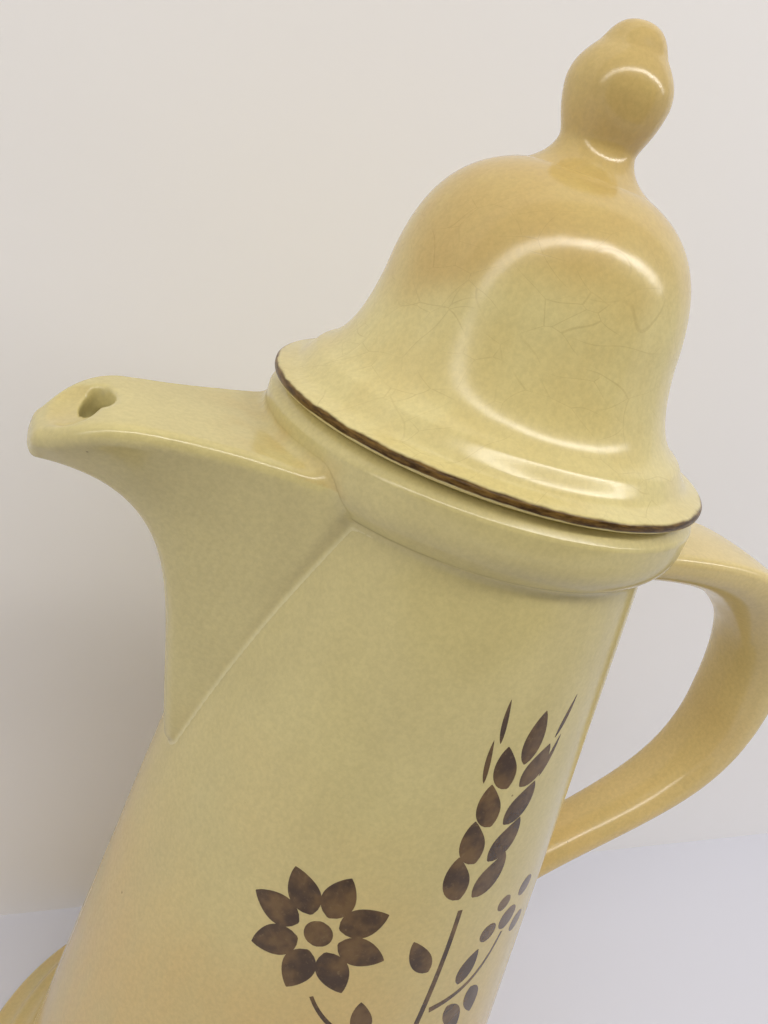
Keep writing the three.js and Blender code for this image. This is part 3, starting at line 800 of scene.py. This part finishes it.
# %% [markdown]
# ## Building a material
# Colours are written as a colour picker shows them and are turned into linear light, which the shader works
# in. Patterns are given in millimetres and read the object's own coordinates, so they stay with the piece.
# One function adds any node. Most patterns are a noise texture followed by a Map Range node. While the noise
# goes from input 1 to input 2, its result goes softly from 0 to 1, or from input 3 to input 4.

# %% Helpers for materials
def linear(text):
    """Linear colour of a hex colour."""
    parts = [int(text[i:i + 2], 16) / 255 for i in (1, 3, 5)]
    return (*(v / 12.92 if v <= 0.04045 else ((v + 0.055) / 1.055) ** 2.4 for v in parts), 1.0)


def per(size):
    """Texture scale for a pattern whose cells are this many millimetres across."""
    return 1 / (size * MM)


def new_material(name):
    """A material with an empty node tree."""
    made = bpy.data.materials.new(name)
    made.use_nodes = True
    made.node_tree.nodes.clear()
    return made, made.node_tree


def add(tree, kind, inputs=None, **settings):
    """Adds a node; an input is a value, an output, or another node, whose first output is then taken."""
    node = tree.nodes.new("ShaderNode" + kind)
    for key, value in settings.items():
        setattr(node, key, value)
    for socket, value in (inputs or {}).items():
        if isinstance(value, bpy.types.Node):
            value = value.outputs[0]
        if isinstance(value, bpy.types.NodeSocket):
            tree.links.new(value, node.inputs[socket])
        else:
            node.inputs[socket].default_value = value
    return node


SOFT = {"interpolation_type": "SMOOTHSTEP"}
COLOUR = {"data_type": "RGBA"}

# %% [markdown]
# ## The glaze
# The glaze is a clear, glassy layer over tan stoneware, coloured straw yellow by a little iron. It is uneven:
# it runs thicker and thinner in soft patches and streaks, it is deeper in tone where it pools, and it holds a
# few iron specks. A paler line along the spout's joint is a painted highlight, and in the trough the deeper
# tone is painted shade as well as pooled glaze. A plain colour would look like plastic, and a painted picture
# would blur close up, so each of these is a pattern of its own, laid over the one before.

# %% Tone of the glaze
def glaze_tone(tree, place, low, high, heights, thick):
    """Two tones blended by height, with thicker patches and runs. Gives back the patches too."""
    uneven = add(tree, "TexNoise", {"Vector": place, "Scale": per(30)})
    uneven = add(tree, "Math", {0: uneven, 1: 0.5}, operation="SUBTRACT")
    uneven = add(tree, "Math", {0: uneven, 1: 0.06}, operation="MULTIPLY")
    rise = add(tree, "SeparateXYZ", {0: place}).outputs[2]
    rise = add(tree, "Math", {0: rise, 1: uneven}, operation="ADD")
    rise = add(tree, "MapRange", {0: rise, 1: heights[0] * MM, 2: heights[1] * MM}, **SOFT)
    colour = add(tree, "Mix", {0: rise, 6: linear(low), 7: linear(high)}, **COLOUR).outputs[2]
    patches = add(tree, "TexNoise", {"Vector": place, "Scale": per(22), "Detail": 3, "Roughness": 0.55})
    patches = add(tree, "MapRange", {0: patches, 1: 0.42, 2: 0.72}, **SOFT)
    stretched = add(tree, "Mapping", {"Vector": place, "Scale": (1, 1, 0.22)})
    runs = add(tree, "TexNoise", {"Vector": stretched, "Scale": per(7), "Detail": 3})
    runs = add(tree, "MapRange", {0: runs, 1: 0.4, 2: 0.75}, **SOFT)
    for pattern, strength in ((patches, 0.4), (runs, 0.3)):
        share = add(tree, "Math", {0: pattern, 1: strength}, operation="MULTIPLY")
        colour = add(tree, "Mix", {0: share, 6: colour, 7: linear(thick)}, **COLOUR).outputs[2]
    return colour, patches

# %% Pooled glaze with painted shade in the trough, and a painted highlight on the seam
def pools_and_painted_light(tree, place, colour):
    """Deeper where the mesh says that glaze pools, which in the trough is painted shade too; paler on the
    line of a joint, a painted highlight.
    """
    patchy = add(tree, "TexNoise", {"Vector": place, "Scale": per(8)})
    patchy = add(tree, "MapRange", {0: patchy, 1: 0.35, 2: 0.65, 3: 0.05, 4: 0.45}, **SOFT)
    pool_and_trough_shade = add(tree, "Attribute", attribute_name="pool_and_trough_shade").outputs["Fac"]
    pool_and_trough_shade = add(tree, "Math", {0: pool_and_trough_shade, 1: patchy}, operation="MULTIPLY")
    colour = add(tree, "Mix", {0: pool_and_trough_shade, 6: colour, 7: linear("#c9ab66")}, **COLOUR).outputs[2]
    # The paler line along the joint is a painted highlight.
    seam_highlight = add(tree, "Attribute", attribute_name="seam_highlight").outputs["Fac"]
    seam_highlight = add(tree, "Math", {0: seam_highlight, 1: 0.55}, operation="MULTIPLY")
    return add(tree, "Mix", {0: seam_highlight, 6: colour, 7: linear("#ece2b4")}, **COLOUR).outputs[2]

# %% Grain and iron specks
def grain_and_specks(tree, place, colour):
    """A fine grain everywhere, and an iron speck in about one cell of seven."""
    grain = add(tree, "TexNoise", {"Vector": place, "Scale": per(0.9), "Detail": 3, "Roughness": 0.7})
    grain = add(tree, "MapRange", {0: grain, 1: 0.25, 2: 0.75, 3: 0.93, 4: 1.05}, **SOFT)
    grey = add(tree, "CombineColor", {0: grain, 1: grain, 2: grain})
    colour = add(tree, "Mix", {0: 1.0, 6: colour, 7: grey}, **COLOUR, blend_type="MULTIPLY").outputs[2]
    cells = add(tree, "TexVoronoi", {"Vector": place, "Scale": per(5.5)}).outputs
    speck = add(tree, "MapRange", {0: cells["Distance"], 1: 0.03, 2: 0.05, 3: 0.75, 4: 0.0}, **SOFT)
    chosen = add(tree, "SeparateColor", {0: cells["Color"]})
    chosen = add(tree, "MapRange", {0: chosen, 1: 0.86, 2: 0.88}, **SOFT)
    speck = add(tree, "Math", {0: speck, 1: chosen}, operation="MULTIPLY")
    return add(tree, "Mix", {0: speck, 6: colour, 7: linear("#6d5630")}, **COLOUR).outputs[2]

# %% [markdown]
# ## Crazing, and the brown line on the brim
# The lid's glaze shrank more than the clay under it, so it is finely cracked. The cracks are the borders of
# Voronoi cells of about 11 and 6 mm, bent by a noise, and they show only here and there. The edge of the
# brim was banded with iron slip by a brush held against it as the lid turned. Height and distance from the
# axis say where it lies, and noise squeezed upwards gives it streaks that run round the brim.

# %% Crazing
def crazing(tree, place):
    """1 in the middle of a crack and 0 beside it; the top of the crown has none."""
    warp = add(tree, "TexNoise", {"Vector": place, "Scale": per(16), "Detail": 1.0}).outputs["Color"]
    bent = add(tree, "VectorMath", {0: warp, 1: (0.008, 0.008, 0.008)}, operation="MULTIPLY")
    bent = add(tree, "VectorMath", {0: place, 1: bent}, operation="ADD")
    bent = add(tree, "Mapping", {"Vector": bent, "Rotation": (0, 0.7, 0), "Scale": (0.55, 1, 1.1)})
    lines = []
    for size, wide in ((11.0, 0.008), (6.0, 0.011)):
        cells = add(tree, "TexVoronoi", {"Vector": bent, "Scale": per(size)}, feature="DISTANCE_TO_EDGE")
        line = cells.outputs["Distance"]
        line = add(tree, "MapRange", {0: line, 1: wide * 0.3, 2: wide, 3: 1.0, 4: 0.0}, **SOFT)
        seen = add(tree, "TexNoise", {"Vector": place, "Scale": per(size * 1.3), "Detail": 1})
        seen = add(tree, "MapRange", {0: seen, 1: 0.42, 2: 0.62}, **SOFT)
        lines.append(add(tree, "Math", {0: line, 1: seen}, operation="MULTIPLY"))
    crack = add(tree, "Math", {0: lines[0], 1: lines[1]}, operation="MAXIMUM")
    height = add(tree, "SeparateXYZ", {0: place}).outputs[2]
    height = add(tree, "MapRange", {0: height, 1: 0.232, 2: 0.238, 3: 1.0, 4: 0.0}, **SOFT)
    return add(tree, "Math", {0: crack, 1: height}, operation="MULTIPLY")

# %% The brown line on the brim
def brim_line(tree, place):
    """How much of the brown line lies at each place, and its streaky brown."""
    x, y, z = add(tree, "SeparateXYZ", {0: place}).outputs
    rise = add(tree, "Math", {0: z, 1: LID_BASE * MM}, operation="SUBTRACT")
    rise = add(tree, "Math", {0: rise, 1: 1 / MM}, operation="MULTIPLY")
    wave = add(tree, "TexNoise", {"Vector": place, "Scale": per(7), "Detail": 3, "Roughness": 0.6})
    wave = add(tree, "Math", {0: wave, 1: 0.5}, operation="SUBTRACT")
    wave = add(tree, "Math", {0: wave, 1: 0.8}, operation="MULTIPLY")
    rise = add(tree, "Math", {0: rise, 1: wave}, operation="ADD")
    across = add(tree, "Math", {0: x, 1: AXIS_X * MM}, operation="SUBTRACT")
    squares = [add(tree, "Math", {0: side, 1: side}, operation="MULTIPLY") for side in (across, y)]
    radius = add(tree, "Math", {0: squares[0], 1: squares[1]}, operation="ADD")
    radius = add(tree, "Math", {0: radius}, operation="SQRT")
    line = add(tree, "MapRange", {0: rise, 1: 0.45, 2: 0.7}, **SOFT)
    for value, low, high, start, end in ((rise, 1.65, 2.0, 1.0, 0.0), (radius, 0.0368, 0.0372, 0.0, 1.0)):
        edge = add(tree, "MapRange", {0: value, 1: low, 2: high, 3: start, 4: end}, **SOFT)
        line = add(tree, "Math", {0: line, 1: edge}, operation="MULTIPLY")
    flat = add(tree, "Mapping", {"Vector": place, "Scale": (1, 1, 5)})
    streaks = add(tree, "TexNoise", {"Vector": flat, "Scale": per(3.0), "Detail": 3, "Roughness": 0.7})
    streaks = add(tree, "MapRange", {0: streaks, 1: 0.3, 2: 0.75}, **SOFT)
    brown = add(tree, "Mix", {0: streaks, 6: linear("#3e2a10"), 7: linear("#7c5f2e")}, **COLOUR).outputs[2]
    return line, brown

# %% [markdown]
# ## The three glazes
# Glass of this kind has an index of refraction near 1.55 and mirrors the window sharply, with the shallow
# ripple and the orange peel of glass that has melted and set. The body is straw yellow and the lid is honey
# toned. The handle's glaze is a lighter copy of the body's: painted light on the handle. The lid's glaze gets
# darker towards the crown: painted shade that tones down the light from above. The brown line is duller than
# the rest.

# %% Glazes
GLASS_IOR = 1.55
RIPPLE = {"Strength": 0.35, "Distance": 0.00008}


def glaze(name, low, high, heights, thick, on_lid=False):
    """low and high: tones at the two heights in mm; thick: tone where the glaze has run together."""
    made, tree = new_material(name)
    place = add(tree, "TexCoord").outputs["Object"]
    colour, patches = glaze_tone(tree, place, low, high, heights, thick)
    colour = grain_and_specks(tree, place, pools_and_painted_light(tree, place, colour))
    ripple = add(tree, "TexNoise", {"Vector": place, "Scale": per(5.5), "Roughness": 0.45})
    peel = add(tree, "TexNoise", {"Vector": place, "Scale": per(0.8), "Roughness": 0.6})
    peel = add(tree, "Math", {0: peel, 1: 0.11}, operation="MULTIPLY")
    height = add(tree, "Math", {0: ripple, 1: peel}, operation="ADD")
    gloss = add(tree, "Math", {0: patches, 1: 0.04}, operation="MULTIPLY")
    gloss = add(tree, "Math", {0: 0.16, 1: gloss}, operation="ADD")
    mirror = 0.5
    if on_lid:
        crack = crazing(tree, place)
        stain = add(tree, "Math", {0: crack, 1: 0.19}, operation="MULTIPLY")
        colour = add(tree, "Mix", {0: stain, 6: colour, 7: linear("#8f7540")}, **COLOUR).outputs[2]
        groove = add(tree, "Math", {0: crack, 1: 0.10}, operation="MULTIPLY")
        height = add(tree, "Math", {0: height, 1: groove}, operation="SUBTRACT")
        line, brown = brim_line(tree, place)
        duller = add(tree, "Math", {0: line, 1: 0.12}, operation="MULTIPLY")
        gloss = add(tree, "Math", {0: gloss, 1: duller}, operation="ADD")
        darker = add(tree, "Math", {0: line, 1: 0.35}, operation="MULTIPLY")
        mirror = add(tree, "Math", {0: 0.5, 1: darker}, operation="SUBTRACT")
        colour = add(tree, "Mix", {0: line, 6: colour, 7: brown}, **COLOUR).outputs[2]
    bump = add(tree, "Bump", {**RIPPLE, "Height": height})
    shader = add(tree, "BsdfPrincipled", {"Base Color": colour, "Roughness": gloss, "IOR": GLASS_IOR,
                                          "Specular IOR Level": mirror, "Normal": bump})
    add(tree, "OutputMaterial", {"Surface": shader})
    return made


body_glaze = glaze("straw_glaze", "#d0b577", "#d1c489", (80, 150), "#c2b57e")
# The handle's glaze is a lighter copy of the body's: painted light on the handle.
handle_glaze = glaze("straw_glaze_painted_lighter", "#ddc284", "#dac68b", (85, 175), "#cdba7e")
# The lid's tone gets darker towards the crown: painted shade against the light from above.
lid_glaze = glaze("honey_glaze_crazed", "#dbce92", "#c9ae6d", (214, 238), "#cfba77", True)
for made in (body_glaze, handle_glaze, lid_glaze):
    print(made.name, "nodes:", len(made.node_tree.nodes))

# %% [markdown]
# ## Bare clay and brown slip
# The ring that the pot stands on is wiped clean before firing, or it would stick to the kiln shelf, so it
# shows dry stoneware. The brown marks are iron slip under the same glaze, mottled where the brush left less.

# %% Bare clay
def bare_clay():
    """Dry stoneware: dull, and grainy to about half a millimetre."""
    made, tree = new_material("bare_stoneware")
    place = add(tree, "TexCoord").outputs["Object"]
    mottle = add(tree, "TexNoise", {"Vector": place, "Scale": per(1.2), "Detail": 4, "Roughness": 0.7})
    colour = add(tree, "Mix", {0: mottle, 6: linear("#c2a886"), 7: linear("#d8c4a4")}, **COLOUR).outputs[2]
    grain = add(tree, "TexNoise", {"Vector": place, "Scale": per(0.5), "Detail": 3, "Roughness": 0.7})
    bump = add(tree, "Bump", {"Strength": 0.5, "Distance": 0.00006, "Height": grain})
    shader = add(tree, "BsdfPrincipled", {"Base Color": colour, "Roughness": 0.85, "IOR": 1.5,
                                          "Normal": bump})
    add(tree, "OutputMaterial", {"Surface": shader})
    return made

# %% Brown slip
def brown_slip():
    """Iron slip under glaze: dark and deep where it is thick, lighter in small worn spots."""
    made, tree = new_material("brown_slip_under_glaze")
    place = add(tree, "TexCoord").outputs["Object"]
    thin = add(tree, "TexNoise", {"Vector": place, "Scale": per(6), "Detail": 3, "Roughness": 0.6})
    thin = add(tree, "MapRange", {0: thin, 1: 0.35, 2: 0.7}, **SOFT)
    deep = add(tree, "Mix", {0: thin, 6: linear("#402b13"), 7: linear("#70542c")}, **COLOUR).outputs[2]
    worn = add(tree, "TexNoise", {"Vector": place, "Scale": per(0.7), "Detail": 3, "Roughness": 0.7})
    worn = add(tree, "MapRange", {0: worn, 1: 0.55, 2: 0.8}, **SOFT)
    worn = add(tree, "Math", {0: worn, 1: 0.5}, operation="MULTIPLY")
    colour = add(tree, "Mix", {0: worn, 6: deep, 7: linear("#8a7047")}, **COLOUR).outputs[2]
    ripple = add(tree, "TexNoise", {"Vector": place, "Scale": per(5.5), "Roughness": 0.45})
    bump = add(tree, "Bump", {**RIPPLE, "Height": ripple})
    shader = add(tree, "BsdfPrincipled", {"Base Color": colour, "Roughness": 0.16, "IOR": GLASS_IOR,
                                          "Normal": bump})
    add(tree, "OutputMaterial", {"Surface": shader})
    return made

# %% [markdown]
# ## Where glaze has pooled, a painted highlight on the joint, and the finishes put on
# Glaze runs down and stays in hollows: on top of the spout next to the collar, and in the trough, where the
# deeper tone is painted shade in the dish as well. A paler line along the spout's joint with the cone is a
# painted highlight. Both depend on how far a point is from another piece, which a material can't know, so the
# distance is measured once for each point and stored in the mesh, where the glaze reads it.

# %% Pools, shade in the trough, and the painted highlight on the seam
def store(thing, name, value):
    """Stores a number for each point of a mesh, which the glaze then reads."""
    values = [value(point.co) for point in thing.data.vertices]
    thing.data.attributes.new(name, "FLOAT", "POINT").data.foreach_set("value", values)
    print(thing.name, name, "on", sum(v > 0 for v in values), "points")


def tree_of(thing):
    """A tree that finds the nearest place on a piece."""
    return BVHTree.FromObject(thing, bpy.context.evaluated_depsgraph_get())


def near(tree, reach, above):
    """1 on the other piece, fading to nothing at reach; nothing below the height above either."""
    return lambda p: max(0.0, 1 - nearest(tree, p) / reach) if p.z / MM > above else 0.0


body_tree, spout_tree, trough_tree = tree_of(body), tree_of(spout), tree_of(trough)
on_top = near(body_tree, 12.0, SPOUT_TOP - 1.2)
# In the trough the deeper tone is pooled glaze and painted shade in the dish.
trough_pool_and_shade = near(trough_tree, 0.6, SPOUT_TOP - 9)
store(spout, "pool_and_trough_shade", lambda p: max(on_top(p), 0.55 * trough_pool_and_shade(p)))
# The paler line where the spout meets the cone is a painted highlight.
on_seam_highlight = near(body_tree, 0.3, 0)
store(spout, "seam_highlight", lambda p: on_seam_highlight(p) if p.z / MM < COLLAR_FOOT - 1 else 0.0)
store(body, "pool_and_trough_shade", near(spout_tree, 1.6, SPOUT_TOP - 2))
discard(channel, trough, body_blank, body_grown)

# %% Finishes
for piece, finish in ((body, body_glaze), (spout, body_glaze), (handle, handle_glaze), (lid, lid_glaze),
                      (knob, lid_glaze), (sprig, brown_slip())):
    piece.data.materials.clear()
    piece.data.materials.append(finish)
body.data.materials.append(bare_clay())
dry = 0
for face in body.data.polygons:
    if face.center.z < 0.9 * MM and face.normal.z < -0.7:
        face.material_index = 1
        dry += 1
print("dry faces on the foot ring:", dry)

# %% [markdown]
# ## Camera
# The photograph was taken close to the pot, from a little above the rim, with the camera rolled so that the
# pot leans. The place and the angles were worked out from the round edges of the collar and the brim.

# %% Camera
FOCAL_PIXELS, PICTURE_HEIGHT = 860, 1024
camera = bpy.data.objects.new("camera", bpy.data.cameras.new("camera"))
bpy.context.scene.collection.objects.link(camera)
camera.location = Vector((-90.263, -125.648, 235.206)) * MM
camera.rotation_euler = Euler([math.radians(a) for a in (66.967, -17.709, -19.935)])
camera.data.sensor_width = 36
camera.data.lens = FOCAL_PIXELS / PICTURE_HEIGHT * camera.data.sensor_width
camera.data.clip_start = 0.01
bpy.context.scene.camera = camera
print("lens, mm: %.1f" % camera.data.lens)

# %% [markdown]
# ## The place and the light
# The pot stands on a pale cloth, close to a pale wall. The bright arcs on the bell, the ball and the brim are
# one soft light, bent over the camera like a window frame: it starts low on the left, passes overhead and
# comes down on the right. It is made of a row of flat lamps along that path. A dark card behind the camera
# stands for the dark side of the room, so the front of the pot mirrors something dark. A camera behind the
# wall or the card sees through it, because other views of the pot are taken from there.

# %% Wall, cloth and dark card
def card(name, middle_and_edges, colour, see_through=False):
    """A flat staged rectangle from its middle and two edges, in mm; a camera behind it may see through it."""
    bm = bmesh.new()
    bmesh.ops.create_grid(bm, x_segments=1, y_segments=1, size=0.5)
    middle, right, up = (Vector(v) * MM for v in middle_and_edges)
    facing = right.cross(up).normalized()
    place = Matrix((right, up, facing)).transposed().to_4x4()
    place.translation = middle
    bmesh.ops.transform(bm, matrix=place, verts=bm.verts[:])
    made = new_object(name, bm)
    material, tree = new_material(name)
    shader = add(tree, "BsdfPrincipled", {"Base Color": linear(colour), "Roughness": 0.9,
                                          "Specular IOR Level": 0.2})
    if see_through:
        behind = add(tree, "NewGeometry").outputs["Backfacing"]
        camera_ray = add(tree, "LightPath").outputs["Is Camera Ray"]
        share = add(tree, "Math", {0: behind, 1: camera_ray}, operation="MULTIPLY")
        shader = add(tree, "MixShader", {0: share, 1: shader, 2: add(tree, "BsdfTransparent")})
    add(tree, "OutputMaterial", {"Surface": shader})
    made.data.materials.append(material)


card("cloth", ((0, 0, -0.02), (4000, 0, 0), (0, 4000, 0)), "#dcdde8")
card("wall", ((0, 70.5, 700), (3000, 165, 0), (0, 0, 1500)), "#f4f3f5", True)
card("dark_card", ((-40, -360, 290), (-960, 0, 0), (0, 0, 460)), "#8d877c", True)

# %% Lamps along the window frame
TARGET = Vector((AXIS_X, 0, 220)) * MM
DISTANCE = 0.9                   # metres from the lid to the lamps
LAMP_COLOUR = "#fffaf2"


def direction(azimuth, elevation):
    """Unit vector from two angles in degrees."""
    a, e = math.radians(azimuth), math.radians(elevation)
    return Vector((math.cos(a) * math.cos(e), math.sin(a) * math.cos(e), math.sin(e)))


def strip(name, start, end, width, radiance):
    """A flat lamp that spans two directions as seen from the pot; width in degrees."""
    first, last = (TARGET + direction(*d) * DISTANCE for d in (start, end))
    lamp = bpy.data.objects.new(name, bpy.data.lights.new(name, "AREA"))
    bpy.context.scene.collection.objects.link(lamp)
    lamp.location = (first + last) / 2
    back = (lamp.location - TARGET).normalized()
    along = (last - first).normalized()
    along = (along - back * along.dot(back)).normalized()
    lamp.rotation_euler = Matrix((along, back.cross(along), back)).transposed().to_euler()
    lamp.data.shape = "RECTANGLE"
    lamp.data.size = (last - first).length * 1.04
    lamp.data.size_y = 2 * DISTANCE * math.tan(math.radians(width / 2))
    lamp.data.energy = radiance * math.pi * lamp.data.size * lamp.data.size_y
    lamp.data.color = linear(LAMP_COLOUR)[:3]


FRAME = ((-161, 4), (-160, 12), (-156, 22), (-149, 34), (-135, 45), (-118, 52.5), (-95, 55), (-70, 54.5),
         (-50, 47), (-35, 39), (-24, 29), (-17, 22))
STRENGTH = (2.0, 3.4, 4.6, 6.2, 8.0, 10.0, 11.8, 12.6, 12.0, 8.8, 4.0)
WIDTH = (8.0, 8.0, 8.0, 7.6, 7.0, 6.4, 6.2, 6.0, 5.8, 5.4, 5.0)
for i, (width, radiance) in enumerate(zip(WIDTH, STRENGTH)):
    strip("window_%02d" % i, FRAME[i], FRAME[i + 1], width, radiance)
print("lamps:", len(STRENGTH))

# %% The pale room
world = bpy.data.worlds.new("room")
bpy.context.scene.world = world
world.use_nodes = True
world.node_tree.nodes["Background"].inputs["Color"].default_value = linear("#fbfaf6")
world.node_tree.nodes["Background"].inputs["Strength"].default_value = 0.59
bpy.context.scene.view_settings.view_transform = "Standard"
